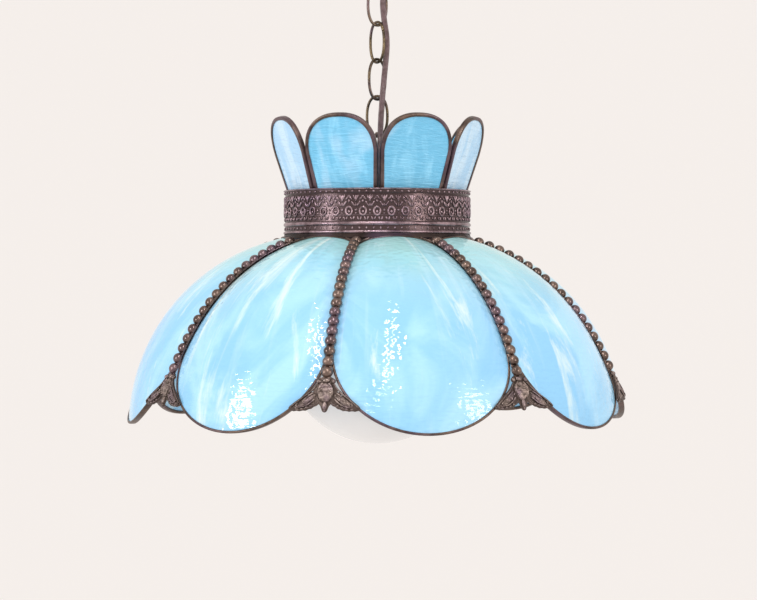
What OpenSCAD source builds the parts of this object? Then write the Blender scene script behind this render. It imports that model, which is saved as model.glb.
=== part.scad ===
// Hanging glass lamp for over a pool table: eight bent glass petals under an embossed band,
// a crown of eight flat panels above it, a milk-glass globe inside, chain and canopy on top.
// Millimetres, +Z up. The origin is the middle of the crossbar's top face, on the ceiling.

/* [Hang] */
// Height of the band's lower edge below the ceiling
hang_drop = 292; // [285:1:320]
// Thread size of the hollow nipples, outside diameter
nipple_d = 10.2; // [9.4:0.2:12]
// Bore of the hollow nipples, where the cord passes
nipple_bore = 7.6; // [7.2:0.1:8]

/* [Shade] */
// Outside diameter across the glass petals
shade_d = 463; // [390:1:560]
// Height from the band's lower edge down to the petal tips
shade_drop = 173; // [144:1:208]
// Radius where the petals begin, under the band
petal_start_r = 89; // [88.5:0.5:94]
// Height from the band's lower edge down to where the petals begin
petal_start_drop = 3.3; // [3:0.1:5]
// Thickness of the petal glass
glass_t = 3; // [2.4:0.1:3.6]
// How far a petal bellies out between its ribs
petal_belly = 10.4; // [6:0.2:12]
// Radius of a petal's upper corners
corner_r = 14; // [8:1:18]
// Share of the petal's length at which it leaves its ribs
tip_start = 0.66; // [0.62:0.005:0.74]
// Turn of the first rib from the front
rib_turn = -11.3; // [-22:0.5:22]

/* [Petal metal] */
// Width of the came's lips over the glass
lip_w = 2.2; // [1.6:0.2:4]
// Thickness of the came's metal
came_t = 1; // [0.6:0.1:1.2]
// Diameter of a bead
bead_d = 9.4; // [8:0.1:9.6]
// Beads on a rib
bead_count = 18; // [12:1:18]
// Width of the strip under the beads
strip_w = 7; // [5:0.5:9]
// Half width of a corner ornament across its wings
ornament_w = 32; // [26:1:36]
// Height of a corner ornament
ornament_h = 27; // [22:1:32]

/* [Band] */
// Outside diameter of the embossed band
band_d = 173; // [168:1:176]
// Height of the embossed band
band_h = 41; // [36:1:50]
// Thickness of the embossed band
band_t = 1.2; // [0.8:0.1:1.5]
// Thickness of the ring inside the band
gallery_t = 1.3; // [1:0.1:2]

/* [Crown] */
// Slant height of a crown panel with its rim
crown_h = 73.5; // [58:0.5:84]
// Outward lean of the crown panels
crown_lean = 17; // [8:0.5:20]
// Share of the slant height where the rounded top begins
crown_shoulder = 0.52; // [0.4:0.01:0.6]
// Squareness of the arch of a crown panel, where 2 is an ellipse
crown_square = 2.35; // [2:0.05:2.8]
// How deep the crown stands in the band
crown_sink = 4.2; // [3:0.1:5]
// Turn of the first crown joint from the front
crown_turn = 1; // [-22:0.5:22]

/* [Chain] */
// Wire of the chain links
link_wire = 2.2; // [1.8:0.1:2.4]
// Outside width of a chain link
link_w = 20.6; // [19:0.2:22]

/* [Light] */
// Outside diameter of the milk-glass globe
globe_d = 174; // [150:1:180]
// Outside diameter of the globe's neck
neck_d = 82; // [78:1:90]
// Height of the globe's lowest point below the band's lower edge
globe_drop = 195; // [180:1:210]
// Diameter of the bulb
bulb_d = 60; // [50:1:64]

/* [Canopy] */
// Diameter of the ceiling canopy
canopy_d = 130; // [112:1:150]
// Depth of the ceiling canopy
canopy_h = 32; // [30:1:33]
// Distance between the middles of the crossbar's slots
slot_spacing = 79.4; // [74:0.1:84]
// Width of a slot in the crossbar
slot_w = 5; // [4.4:0.1:5.6]
// End-to-end length of a slot in the crossbar
slot_len = 14.5; // [12:0.5:16]

/* [Hidden] */
$fn = 72;
petals = 8;
step = 360 / petals;
wedge = 0.3; // clearance where one piece lies on another
bar_t = 2.5;
nut_t = 3;
nut_flats = 14;
collar_r = 12.7;
canopy_t = 1;
run = 0.06; // radial clearance of what turns or slides
iron = [0.26, 0.19, 0.18];
antique = [0.42, 0.36, 0.22];
sky = [0.58, 0.83, 0.95];

band_z = -hang_drop;
chain_top = -60.4;
link_gap = 0.3;
link_count = 5;
loop_w = 2;
canopy_ring_r = 9;
lamp_ring_r = 12.5;
chain_foot = band_z + 58.6;
link_pitch = (chain_top - chain_foot) / link_count;
link_yaws = [31, -51, 41, -18, 72];
canopy_yaw = link_yaws[0] - 90;
lamp_yaw = link_yaws[4] - 90;

// petal surface: t runs 0 to 1 down the petal, u runs -1 to 1 across it
phi0 = 12;
phi1 = 88.6;
rise_r = (shade_d / 2 - petal_start_r) / (sin(phi1) - sin(phi0));
rise_z = (shade_drop - petal_start_drop) / (cos(phi0) - cos(phi1));
petal_len = (rise_r + rise_z) / 2 * (phi1 - phi0) * PI / 180;
edge_gap = came_t + 1;
fit_gap = 0.3; // glass to came
columns = 14;
rows = 11;
columns_u = [for (j = [0:columns]) sin(-90 + 180 * j / columns)];

function phi(t) = phi0 + (phi1 - phi0) * t;
function prof_r(t) = petal_start_r + rise_r * (sin(phi(t)) - sin(phi0));
function prof_z(t) = band_z - petal_start_drop - rise_z * (cos(phi0) - cos(phi(t)));
function unit(v) = v / norm(v);
function prof_n(t) = unit([rise_z * sin(phi(t)), rise_r * cos(phi(t))]);
belly_peak = 0.587; // share of the petal's length where it bellies most
belly_top = 0.47; // share of the belly left at the petal's top
belly_tip = 1.5; // belly at the tip
function belly(t) =
    t < belly_peak ? petal_belly * (belly_top + (1 - belly_top) * sin(90 * t / belly_peak))
        : belly_tip + (petal_belly - belly_tip) * sin(180 * pow(min(1, t), 1.3));
function prof(t, off) = [prof_r(t), prof_z(t)] + prof_n(t) * off;
function on_glass(u, t) =
    let (p = prof(t, -belly(t) * u * u), a = u * (step / 2 - edge_gap / p[0] * 180 / PI))
    [p[0] * sin(a), -p[0] * cos(a), p[1]];
function glass_n(u, t) =
    unit(cross(on_glass(u + 0.01, t) - on_glass(u - 0.01, t), on_glass(u, t - 0.01) - on_glass(u, t + 0.01)));
function petal_top(u) =
    let (uc = 1 - corner_r / 33, q = max(0, (abs(u) - uc) / (1 - uc)))
    corner_r / petal_len * (1 - sqrt(max(0, 1 - q * q)));
function petal_foot(u) = tip_start + (1 - tip_start) * sqrt(max(0, 1 - u * u));

// came outline, once round the petal
top_line = [for (u = columns_u) [u, petal_top(u)]];
right_line = [for (k = [1:rows - 1]) [1, petal_top(1) + (tip_start - petal_top(1)) * k / rows]];
foot_line = [for (j = [columns:-1:0]) [columns_u[j], petal_foot(columns_u[j])]];
left_line = [for (k = [rows - 1:-1:1]) [-1, petal_top(1) + (tip_start - petal_top(1)) * k / rows]];
came_line = concat(top_line, right_line, foot_line, left_line);
came_section = [
    [-lip_w, fit_gap + came_t], [fit_gap + came_t, fit_gap + came_t],
    [fit_gap + came_t, -glass_t - fit_gap - came_t], [-lip_w, -glass_t - fit_gap - came_t],
    [-lip_w, -glass_t - fit_gap], [fit_gap, -glass_t - fit_gap], [fit_gap, fit_gap], [-lip_w, fit_gap]];

// ribs
rib_start = 0.033;
rib_end = 0.769;
strip_lo = fit_gap + came_t + 0.6;
strip_hi = strip_lo + 1.2;
bead_lift = strip_lo + 0.8;
ornament_lo = strip_hi + wedge;
ornament_t = 1.8;

// band, gallery ring and crown
gallery_r = band_d / 2 - band_t - fit_gap;
ledge_z = 16.5;
ledge_t = 2;
ledge_r = gallery_r - gallery_t - 9.7;
spider_t = 2;
spider_z = band_z + ledge_z + ledge_t;
washer_t = 1.5;
collar_z = spider_z + spider_t + washer_t;
arm_w = 14;
screw_r = (ledge_r + gallery_r - gallery_t) / 2;
screw_d = 4;
flange_t = 1.3;
seat_z = band_z + band_h - crown_sink;
crown_z = seat_z + wedge + 0.7;
crown_a = band_d / 2 - 10.7; // apothem of the crown's foot
crown_margin = 1.2;
crown_glass_t = 2.6;
crown_rim_t = 4.6;
crown_rim_w = 2.8;

// light
globe_z = band_z - globe_drop + globe_d / 2;
globe_t = 3;
neck_top = globe_z + sqrt(pow(globe_d / 2, 2) - pow(neck_d / 2, 2)) + 13;
holder_t = 1.2;
holder_r = neck_d / 2 + 6;
holder_z = neck_top + 3;
plate_z = holder_z + holder_t;
thumb_z = neck_top - 7;
socket_z = holder_z - nut_t - wedge;
socket_r = 17;
thread_r = 13.4;
cap_h = 22;
shell_h = 42;
base_r = 12.9;
base_top = socket_z - cap_h - 6;
bulb_foot = base_top - 108;
bulb_t = 1;

// cord: x, y, z and the turn of its flat side
cord_w = 5.4;
cord_t = 2.7;
cord_route = [
    [0, 0, -3, 31], [0, 0, -22, 31], [0, 0, -36, 31], [0.3, 0, -42, 31], [1.6, -0.5, -48, 31],
    [4, -0.7, -53.5, 31], [6.2, -0.2, -59, 31], [6.2, -0.8, -66, 20], [5.2, -1.5, -75, 8],
    [5.8, -1.5, -85, 0], [7, -1.2, -95, 0], [8.5, -1.5, -105, 0], [9, -1.5, -114, 0],
    [8.7, -1.5, -122, 0], [7.9, -1.8, -131, 0], [6.9, -2.2, -141, 0], [6, -3, -151, 0],
    [5, -4.9, -162, 0], [4.3, -5.8, -172, 0], [3.4, -6, -185, 0], [3, -6.2, -197, 5],
    [2.7, -6.4, -207, 25], [2.3, -6.4, -217, 50], [1.6, -6.2, -226, 68], [1.5, -5.9, -232, 72],
    [1.7, -5, -237.5, 72], [1.9, -3.4, -243, 72], [1.4, -1.6, -249, 72], [0.4, -0.4, -255, 72],
    [0, 0, -261, 72], [0, 0, -275, 72], [0, 0, -290, 72], [0, 0, -308, 72]];

// ---- shared shapes ----

module tube(r_out, r_in, z_low, z_high) {
    translate([0, 0, z_low])
        difference() {
            cylinder(r = r_out, h = z_high - z_low);
            translate([0, 0, -1]) cylinder(r = r_in, h = z_high - z_low + 2);
        }
}

module hex_nut(across_flats, r_in, z_low, z_high) {
    translate([0, 0, z_low])
        difference() {
            cylinder(r = across_flats / sqrt(3), h = z_high - z_low, $fn = 6);
            translate([0, 0, -1]) cylinder(r = r_in, h = z_high - z_low + 2);
        }
}

// closed skin over a grid of points, outer rows first, then the same grid inside
module sheet(outer, inner, nu, nv) {
    n = (nu + 1) * (nv + 1);
    at = function (j, k) j * (nv + 1) + k;
    polyhedron(
        points = concat(outer, inner),
        faces = concat(
            [for (j = [0:nu - 1], k = [0:nv - 1]) [at(j, k), at(j + 1, k), at(j + 1, k + 1), at(j, k + 1)]],
            [for (j = [0:nu - 1], k = [0:nv - 1])
                [n + at(j, k), n + at(j, k + 1), n + at(j + 1, k + 1), n + at(j + 1, k)]],
            [for (j = [0:nu - 1]) [at(j, 0), n + at(j, 0), n + at(j + 1, 0), at(j + 1, 0)]],
            [for (j = [0:nu - 1]) [at(j + 1, nv), n + at(j + 1, nv), n + at(j, nv), at(j, nv)]],
            [for (k = [0:nv - 1]) [at(0, k + 1), n + at(0, k + 1), n + at(0, k), at(0, k)]],
            [for (k = [0:nv - 1]) [at(nu, k), n + at(nu, k), n + at(nu, k + 1), at(nu, k + 1)]]));
}

// closed tube through rings of points; a loop joins its last ring to its first
module skin(rings, sides, loop = false) {
    n = len(rings);
    polyhedron(
        points = [for (ring = rings) each ring],
        faces = concat(
            [for (i = [0:(loop ? n - 1 : n - 2)], j = [0:sides - 1])
                let (a = i * sides, b = (i + 1) % n * sides, k = (j + 1) % sides) [a + j, a + k, b + k, b + j]],
            loop ? [] : [[for (j = [sides - 1:-1:0]) j], [for (j = [0:sides - 1]) (n - 1) * sides + j]]));
}

// ---- ceiling ----

module slot(length, width, height) {
    for (x = [-1, 1]) translate([x * (length - width) / 2, 0, 0]) cylinder(r = width / 2, h = height, center = true);
    cube([length - width, width, height], center = true);
}

module crossbar() {
    color(antique)
    difference() {
        translate([0, 0, -bar_t / 2]) cube([slot_spacing + slot_len + 10, 18, bar_t], center = true);
        for (x = [-1, 1]) translate([x * slot_spacing / 2, 0, 0]) slot(slot_len, slot_w, 3 * bar_t);
        cylinder(r = nipple_d / 2 + run, h = 3 * bar_t, center = true);
    }
}

module canopy_nipple() {
    color(antique) tube(nipple_d / 2, nipple_bore / 2, -34, -0.5);
}

module canopy_locknut() {
    color(antique) hex_nut(nut_flats, nipple_d / 2 + run, -bar_t - nut_t, -bar_t);
}

module canopy() {
    r = canopy_d / 2;
    hole = collar_r + 0.5;
    function bell(off) = [for (a = [0:9:90]) [20 + (r - 20 - off) * cos(a), -(canopy_h - off) * sin(a)]];
    color(iron)
    rotate_extrude()
        polygon(concat(bell(0), [[hole, -canopy_h], [hole, -canopy_h + canopy_t]],
            [for (i = [10:-1:0]) bell(canopy_t)[i]]));
}

module collar_ring() {
    color(iron)
    difference() {
        translate([0, 0, -canopy_h - 4.2]) cylinder(r = collar_r + 4, h = 4);
        translate([0, 0, -canopy_h - 5]) cylinder(r = collar_r + run, h = 6);
        for (a = [0:15:345]) rotate([0, 0, a]) translate([collar_r + 4.4, 0, -canopy_h - 5]) cylinder(r = 0.9, h = 6);
    }
}

module eye(ring_r, wire_r, ring_z, yaw) {
    translate([0, 0, ring_z]) rotate([90, 0, yaw]) rotate_extrude() translate([ring_r, 0]) circle(r = wire_r);
}

module canopy_loop() {
    ring_z = chain_top - link_gap / 2 - loop_w + canopy_ring_r;
    color(iron)
    difference() {
        union() {
            translate([0, 0, -canopy_h - 9]) cylinder(r = collar_r, h = 14);
            translate([0, 0, ring_z + canopy_ring_r - 1]) cylinder(r = 6.5, h = -canopy_h - 8 - ring_z - canopy_ring_r + 1);
            eye(canopy_ring_r, loop_w, ring_z, canopy_yaw);
        }
        translate([0, 0, -36]) cylinder(r = nipple_d / 2 + run, h = 20);
        translate([0, 0, ring_z + 2]) cylinder(r = nipple_bore / 2, h = 30);
    }
}

// ---- chain ----

module chain_link(i) {
    top = chain_top - (i - 1) * link_pitch + (link_gap + link_wire) / 2;
    foot = chain_top - i * link_pitch - (link_gap + link_wire) / 2;
    bend = (link_w - link_wire) / 2;
    side = top - foot - 2 * bend;
    color(antique)
    translate([0, 0, foot + bend])
    rotate([90, 0, link_yaws[i - 1]]) {
        for (x = [-1, 1]) translate([x * bend, 0, 0]) rotate([-90, 0, 0]) cylinder(r = link_wire / 2, h = side);
        translate([0, side, 0]) rotate_extrude(angle = 180) translate([bend, 0]) circle(r = link_wire / 2);
        rotate([0, 0, 180]) rotate_extrude(angle = 180) translate([bend, 0]) circle(r = link_wire / 2);
    }
}

// ---- stem ----

module lamp_loop() {
    ring_z = chain_foot + link_gap / 2 + loop_w - lamp_ring_r;
    color(iron)
    difference() {
        union() {
            translate([0, 0, collar_z]) cylinder(r = 8.5, h = ring_z - lamp_ring_r + loop_w / 2 - collar_z);
            eye(lamp_ring_r, loop_w, ring_z, lamp_yaw);
        }
        translate([0, 0, collar_z - 1]) cylinder(r = nipple_d / 2 + run, h = 11);
        translate([0, 0, collar_z - 1]) cylinder(r = nipple_bore / 2, h = 24);
    }
}

module check_washer() {
    color(iron) tube(15, nipple_d / 2 + run, spider_z + spider_t, collar_z);
}

module lamp_nipple() {
    color(antique) tube(nipple_d / 2, nipple_bore / 2, socket_z - 5, collar_z + 9);
}

module lamp_locknuts() {
    color(antique) {
        hex_nut(nut_flats, nipple_d / 2 + run, spider_z - nut_t, spider_z);
        hex_nut(nut_flats, nipple_d / 2 + run, holder_z - nut_t, holder_z);
    }
}

module spider() {
    reach = 2 * (gallery_r - gallery_t - 0.6);
    color(iron)
    difference() {
        for (a = [0, 90]) rotate([0, 0, a]) translate([0, 0, spider_z + spider_t / 2]) cube([reach, arm_w, spider_t], center = true);
        translate([0, 0, spider_z - 1]) cylinder(r = nipple_d / 2 + run, h = 4);
        for (a = [0:90:270]) rotate([0, 0, a]) translate([screw_r, 0, spider_z - 1]) cylinder(r = screw_d / 2 + 0.2, h = 4);
    }
}

module spider_screws() {
    color(antique)
    for (a = [0:90:270]) rotate([0, 0, a]) translate([screw_r, 0, spider_z]) {
        translate([0, 0, -ledge_t - 2]) cylinder(r = screw_d / 2, h = ledge_t + 2 + spider_t + 0.5);
        translate([0, 0, spider_t]) cylinder(r = screw_d, h = 2.2);
    }
}

// ---- band and crown ----

module gallery_ring() {
    inner = gallery_r - gallery_t;
    color(iron)
    difference() {
        rotate_extrude()
            polygon([[inner, band_z + 0.5], [gallery_r, band_z + 0.5], [gallery_r, seat_z],
                [crown_a - 4.4, seat_z], [crown_a - 4.4, seat_z - flange_t],
                [inner, seat_z - flange_t], [inner, spider_z], [ledge_r, spider_z],
                [ledge_r, spider_z - ledge_t], [inner, spider_z - ledge_t]]);
        for (a = [0:90:270]) rotate([0, 0, a]) translate([screw_r, 0, spider_z - ledge_t - 1]) cylinder(r = screw_d / 2 + run, h = ledge_t + 2);
    }
}

module embossed_band() {
    r = band_d / 2;
    color(iron) {
        tube(r, r - band_t, band_z, band_z + band_h);
        for (z = [band_z + 1.2, band_z + 9, band_z + band_h - 1.6])
            translate([0, 0, z]) rotate_extrude() translate([r + 0.1, 0]) circle(r = 1.2);
    }
}

module shoulder_ring() {
    r = band_d / 2;
    end = prof(0, 0);
    color(iron)
    rotate_extrude()
        polygon([[gallery_r - gallery_t, band_z + 0.2], [gallery_r - gallery_t, band_z - 3], [r - 2, band_z - 3.4],
            [end[0] - 1.6, end[1] - 0.6], [end[0] - 1.6, end[1] + 1.4], [r + 0.4, band_z - 1.4],
            [r + 0.4, band_z - wedge], [gallery_r + fit_gap / 2, band_z - wedge], [gallery_r + fit_gap / 2, band_z + 0.2]]);
}

// outline of a crown panel, drawn in from its rim's edge
function crown_half(s) = (crown_a + s * sin(crown_lean)) * tan(step / 2) - crown_margin;
function squared(v) = pow(v, 2 / crown_square);
function crown_outline(inset) =
    let (s1 = crown_h * crown_shoulder, hw = crown_half(s1) - inset, top = crown_h - s1 - inset)
    concat([[-crown_half(0) + inset, inset], [crown_half(0) - inset, inset]],
        [for (a = [0:7.5:180]) [hw * sign(cos(a)) * squared(abs(cos(a))), s1 + top * squared(sin(a))]]);

module crown_place(i) {
    rotate([0, 0, crown_turn + step * (i - 0.5)])
    translate([0, -crown_a, crown_z])
    rotate([90 + crown_lean, 0, 0]) children();
}

module crown_glass(i) {
    color(sky, 0.8)
    crown_place(i) linear_extrude(height = crown_glass_t, center = true) polygon(crown_outline(crown_rim_w + fit_gap));
}

module crown_rims() {
    color(iron)
    for (i = [1:petals]) crown_place(i)
        difference() {
            linear_extrude(height = crown_rim_t, center = true) polygon(crown_outline(0));
            linear_extrude(height = crown_rim_t + 2, center = true) polygon(crown_outline(crown_rim_w));
        }
}

// ---- lower shade ----

module petal_place(i) {
    rotate([0, 0, rib_turn + step * (i - 0.5)]) children();
}

module shade_glass(i) {
    grid = [for (u = columns_u, k = [0:rows])
        let (t = petal_top(u) + (petal_foot(u) - petal_top(u)) * k / rows) [u, t]];
    outer = [for (g = grid) on_glass(g[0], g[1])];
    inner = [for (g = grid) on_glass(g[0], g[1]) - glass_n(g[0], g[1]) * glass_t];
    color(sky, 0.8)
    petal_place(i) sheet(outer, inner, columns, rows);
}

module shade_rims() {
    pts = [for (g = came_line) on_glass(g[0], g[1])];
    nor = [for (g = came_line) glass_n(g[0], g[1])];
    count = len(pts);
    rings = [for (k = [0:count - 1])
        let (along = unit(pts[(k + 1) % count] - pts[(k + count - 1) % count]), out = unit(cross(along, nor[k])))
        [for (s = came_section) pts[k] - out * s[0] + nor[k] * s[1]]];
    color(iron)
    for (i = [1:petals]) petal_place(i) skin(rings, len(came_section), loop = true);
}

function rib_curve(off, from, to, n) =
    [for (k = [0:n]) let (t = from + (to - from) * k / n) prof(t, off - belly(t))];

module upright(width) {
    rotate([90, 0, -90]) linear_extrude(height = width, center = true) children();
}

// a round-headed bead with a flat back, standing on z = 0
module bead() {
    difference() {
        translate([0, 0, bead_lift - strip_lo]) sphere(r = bead_d / 2, $fn = 40);
        translate([0, 0, (strip_hi - strip_lo) / 2 - bead_d]) cube(2 * bead_d, center = true);
    }
}

module bead_rib(i) {
    tail = rib_end + 0.03;
    color(iron)
    rotate([0, 0, rib_turn + step * (i - 1)]) {
        upright(strip_w) polygon(concat(rib_curve(strip_lo, 0, tail, 22), rib_curve(strip_hi, tail, 0, 22)));
        for (k = [0:bead_count - 1]) {
            t = rib_start + (rib_end - rib_start) * k / (bead_count - 1);
            foot = prof(t, strip_lo - belly(t));
            n = prof_n(t);
            translate([0, -foot[0], foot[1]]) rotate([atan2(n[0], n[1]), 0, 0]) bead();
        }
    }
}

module corner_ornaments() {
    half = [[0, 0], [0.12, -0.1], [0.26, -0.4], [0.5, -0.62], [0.82, -0.74], [1, -0.95], [0.8, -1.02],
        [0.5, -0.93], [0.28, -0.9], [0.18, -1.02], [0, -1.25]];
    outline = concat(half, [for (k = [len(half) - 2:-1:1]) [-half[k][0], half[k][1]]]);
    top = prof(rib_end + 0.034, 0);
    color(iron)
    for (i = [0:petals - 1]) rotate([0, 0, rib_turn + step * i])
        intersection() {
            upright(2 * ornament_w + 10)
                polygon(concat(rib_curve(ornament_lo, rib_end - 0.03, 1, 8), rib_curve(ornament_lo + ornament_t, 1, rib_end - 0.03, 8)));
            translate([0, 0, top[1]]) rotate([90, 0, 0]) linear_extrude(height = shade_d)
                polygon([for (p = outline) [p[0] * ornament_w, p[1] * ornament_h]]);
        }
}

// ---- light ----

module spacer_tube() {
    color(antique) tube(7, nipple_d / 2 + run, plate_z, spider_z - nut_t);
}

module globe_holder() {
    color(antique)
    difference() {
        union() {
            tube(holder_r, holder_r - holder_t, thumb_z - 6, plate_z);
            tube(holder_r, nipple_d / 2 + run, holder_z, plate_z);
            for (i = [1:3]) rotate([0, 0, 120 * i - 30]) translate([0, holder_r - holder_t / 2, thumb_z]) rotate([-90, 0, 0]) cylinder(r = 4, h = 3);
        }
        for (i = [1:3]) rotate([0, 0, 120 * i - 30]) translate([0, holder_r - 5, thumb_z]) rotate([-90, 0, 0]) cylinder(r = screw_d / 2 + run, h = 12);
    }
}

module thumbscrew(i) {
    tip = neck_d / 2 + 0.3;
    head = holder_r + 4;
    color(antique)
    rotate([0, 0, 120 * i - 30]) translate([0, 0, thumb_z]) rotate([-90, 0, 0]) {
        translate([0, 0, tip]) cylinder(r = screw_d / 2, h = head - tip + 1);
        translate([0, 0, head])
            difference() {
                cylinder(r = 5.5, h = 6);
                for (a = [0:30:330]) rotate([0, 0, a]) translate([5.9, 0, -1]) cylinder(r = 0.8, h = 8);
            }
    }
}

module opal_globe() {
    r = globe_d / 2;
    neck_r = neck_d / 2;
    neck_foot = globe_z + sqrt(r * r - neck_r * neck_r) - 2;
    color("white", 0.9)
    difference() {
        union() {
            translate([0, 0, globe_z]) sphere(r = r, $fn = 120);
            translate([0, 0, neck_foot]) cylinder(r = neck_r, h = neck_top - neck_foot);
            translate([0, 0, neck_top - 3]) cylinder(r = neck_r + 2.2, h = 3);
        }
        translate([0, 0, globe_z]) sphere(r = r - globe_t, $fn = 120);
        translate([0, 0, globe_z]) cylinder(r = neck_r - globe_t, h = r + 20);
    }
}

module socket_cap() {
    wall = 0.8;
    r = socket_r + 0.8;
    foot = socket_z - cap_h;
    bore = nipple_d / 2 + run;
    color(antique)
    rotate_extrude()
        polygon([[r, foot], [r, foot + 9], [r - 3, foot + 14], [8, socket_z - 5], [7, socket_z - 4], [7, socket_z],
            [bore, socket_z], [bore, socket_z - 6], [8 - wall, socket_z - 6], [r - 3 - wall, foot + 13],
            [r - wall, foot + 9 - wall / 2], [r - wall, foot]]);
}

module socket_shell() {
    color(antique) tube(socket_r - 0.2, socket_r - 0.9, socket_z - cap_h - shell_h, socket_z - cap_h + 6);
}

module insulator_sleeve() {
    color([0.85, 0.82, 0.72]) tube(socket_r - 1, socket_r - 1.7, socket_z - cap_h - shell_h + 1, socket_z - cap_h + 4);
}

module socket_body() {
    top = socket_z - cap_h;
    color([0.12, 0.12, 0.12])
    difference() {
        translate([0, 0, top - shell_h + 2]) cylinder(r = socket_r - 1.8, h = shell_h - 2);
        translate([0, 0, top - shell_h - 1]) cylinder(r = thread_r, h = shell_h - 5);
    }
}

module bulb_base() {
    color([0.8, 0.8, 0.78])
    union() {
        for (k = [0:5]) translate([0, 0, base_top - 6 - 3.4 * k]) cylinder(r1 = base_r, r2 = base_r - 0.9, h = 3.4);
        translate([0, 0, base_top - 3]) cylinder(r1 = 9, r2 = 4.5, h = 3);
    }
}

module bulb_glass() {
    r = bulb_d / 2;
    ball = bulb_foot + r;
    throat = 12.5;
    function pear(off) = concat([for (a = [-90:6:36]) [(r - off) * cos(a), ball + (r - off) * sin(a)]],
        [[r * 0.66 - off, ball + r * 0.8], [throat + 3 - off, ball + r * 1.1], [throat + 0.6 - off, ball + r * 1.4],
         [throat - off, base_top - 23.3]]);
    outer = pear(0);
    inner = pear(bulb_t);
    color([0.98, 0.97, 0.94], 0.9)
    rotate_extrude() polygon(concat(outer, [for (k = [len(inner) - 1:-1:0]) inner[k]]));
}

// ---- cord ----

module cord() {
    n = len(cord_route);
    at = [for (p = cord_route) [p[0], p[1], p[2]]];
    rings = [for (k = [0:n - 1])
        let (along = unit(at[min(k + 1, n - 1)] - at[max(k - 1, 0)]),
            flat = [cos(cord_route[k][3]), sin(cord_route[k][3]), 0],
            thin = unit(cross(along, flat)), wide = cross(thin, along))
        [for (a = [0:45:315]) at[k] + wide * cos(a) * cord_w / 2 + thin * sin(a) * cord_t / 2]];
    color([0.35, 0.25, 0.25]) skin(rings, 8);
}

crossbar();
canopy_nipple();
canopy_locknut();
canopy();
collar_ring();
canopy_loop();
for (i = [1:link_count]) chain_link(i);
lamp_loop();
check_washer();
lamp_nipple();
lamp_locknuts();
spider();
spider_screws();
gallery_ring();
embossed_band();
shoulder_ring();
crown_rims();
shade_rims();
corner_ornaments();
spacer_tube();
globe_holder();
opal_globe();
socket_cap();
socket_shell();
insulator_sleeve();
socket_body();
bulb_base();
bulb_glass();
cord();
for (i = [1:3]) thumbscrew(i);
for (i = [1:petals]) crown_glass(i);
for (i = [1:petals]) shade_glass(i);
for (i = [1:petals]) bead_rib(i);
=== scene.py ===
from math import atan2, copysign, cos, pi, radians, sin, sqrt, tan

import bpy
from mathutils import Matrix, Vector


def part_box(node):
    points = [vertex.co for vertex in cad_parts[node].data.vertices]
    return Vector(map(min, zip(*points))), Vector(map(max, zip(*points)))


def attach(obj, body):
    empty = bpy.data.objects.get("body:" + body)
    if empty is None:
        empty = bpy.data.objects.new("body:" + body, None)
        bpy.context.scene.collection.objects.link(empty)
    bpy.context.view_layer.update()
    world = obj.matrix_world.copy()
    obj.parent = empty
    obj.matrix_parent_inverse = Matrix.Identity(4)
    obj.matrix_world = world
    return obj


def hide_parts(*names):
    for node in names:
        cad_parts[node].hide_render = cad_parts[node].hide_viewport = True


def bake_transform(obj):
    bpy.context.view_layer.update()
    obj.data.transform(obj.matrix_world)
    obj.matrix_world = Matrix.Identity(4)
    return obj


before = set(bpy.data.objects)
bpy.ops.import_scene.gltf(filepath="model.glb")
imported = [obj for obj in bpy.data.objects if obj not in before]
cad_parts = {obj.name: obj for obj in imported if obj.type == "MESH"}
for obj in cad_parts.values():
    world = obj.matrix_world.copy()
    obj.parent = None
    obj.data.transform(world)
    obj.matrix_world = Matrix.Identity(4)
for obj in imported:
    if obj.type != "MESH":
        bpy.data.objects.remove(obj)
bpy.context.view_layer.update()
mm = 0.001
print("frame loaded")


# picking, placing and copying
def pick(*pieces):
    if bpy.context.mode != "OBJECT":
        bpy.ops.object.mode_set(mode="OBJECT")
    bpy.ops.object.select_all(action="DESELECT")
    for piece in pieces:
        piece.select_set(True)
    bpy.context.view_layer.objects.active = pieces[0]
    return pieces[0]


def fresh(adder, **sizes):
    if bpy.context.mode != "OBJECT":
        bpy.ops.object.mode_set(mode="OBJECT")
    bpy.ops.object.select_all(action="DESELECT")
    adder(**sizes)
    return bpy.context.object


def editAll(piece):
    pick(piece)
    bpy.ops.object.mode_set(mode="EDIT")
    bpy.ops.mesh.select_all(action="SELECT")


def settle(piece, name=None):
    pick(piece)
    bpy.ops.object.transform_apply(location=True, rotation=True, scale=True)
    if name:
        piece.name = piece.data.name = name
    return piece


def joined(pieces, name):
    for piece in pieces:
        settle(piece)
    pick(*pieces)
    if len(pieces) > 1:
        bpy.ops.object.join()
    return settle(bpy.context.object, name)


def copyOf(piece, turn=0.0, name=None):
    pick(piece)
    bpy.ops.object.duplicate()
    copy = bpy.context.object
    copy.rotation_euler = (0, 0, radians(turn))
    return settle(copy, name)


def modify(piece, kind, **settings):
    pick(piece)
    modifier = piece.modifiers.new(kind.title(), kind)
    for key, value in settings.items():
        setattr(modifier, key, value)
    bpy.ops.object.modifier_apply(modifier=modifier.name)
    return piece


def faceOut(piece, merge=0.0):
    editAll(piece)
    if merge:
        bpy.ops.mesh.remove_doubles(threshold=merge)
    bpy.ops.mesh.normals_make_consistent(inside=False)
    bpy.ops.object.mode_set(mode="OBJECT")
    return piece


def smooth(piece, angle=40):
    pick(piece)
    bpy.ops.object.shade_smooth_by_angle(angle=radians(angle))
    return piece


def dress(piece, finish, replaces=()):
    piece.data.materials.clear()
    piece.data.materials.append(finish)
    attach(piece, "pendant")
    if replaces:
        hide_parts(*replaces)
    return piece


def coat(node, finish):
    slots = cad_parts[node].data.materials
    slots.clear()
    slots.append(finish)


# how far a rounded arch or oval has come, where power 2 makes it an ellipse
def squarer(v, power):
    return copysign(abs(v) ** (2 / power), v)


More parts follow.
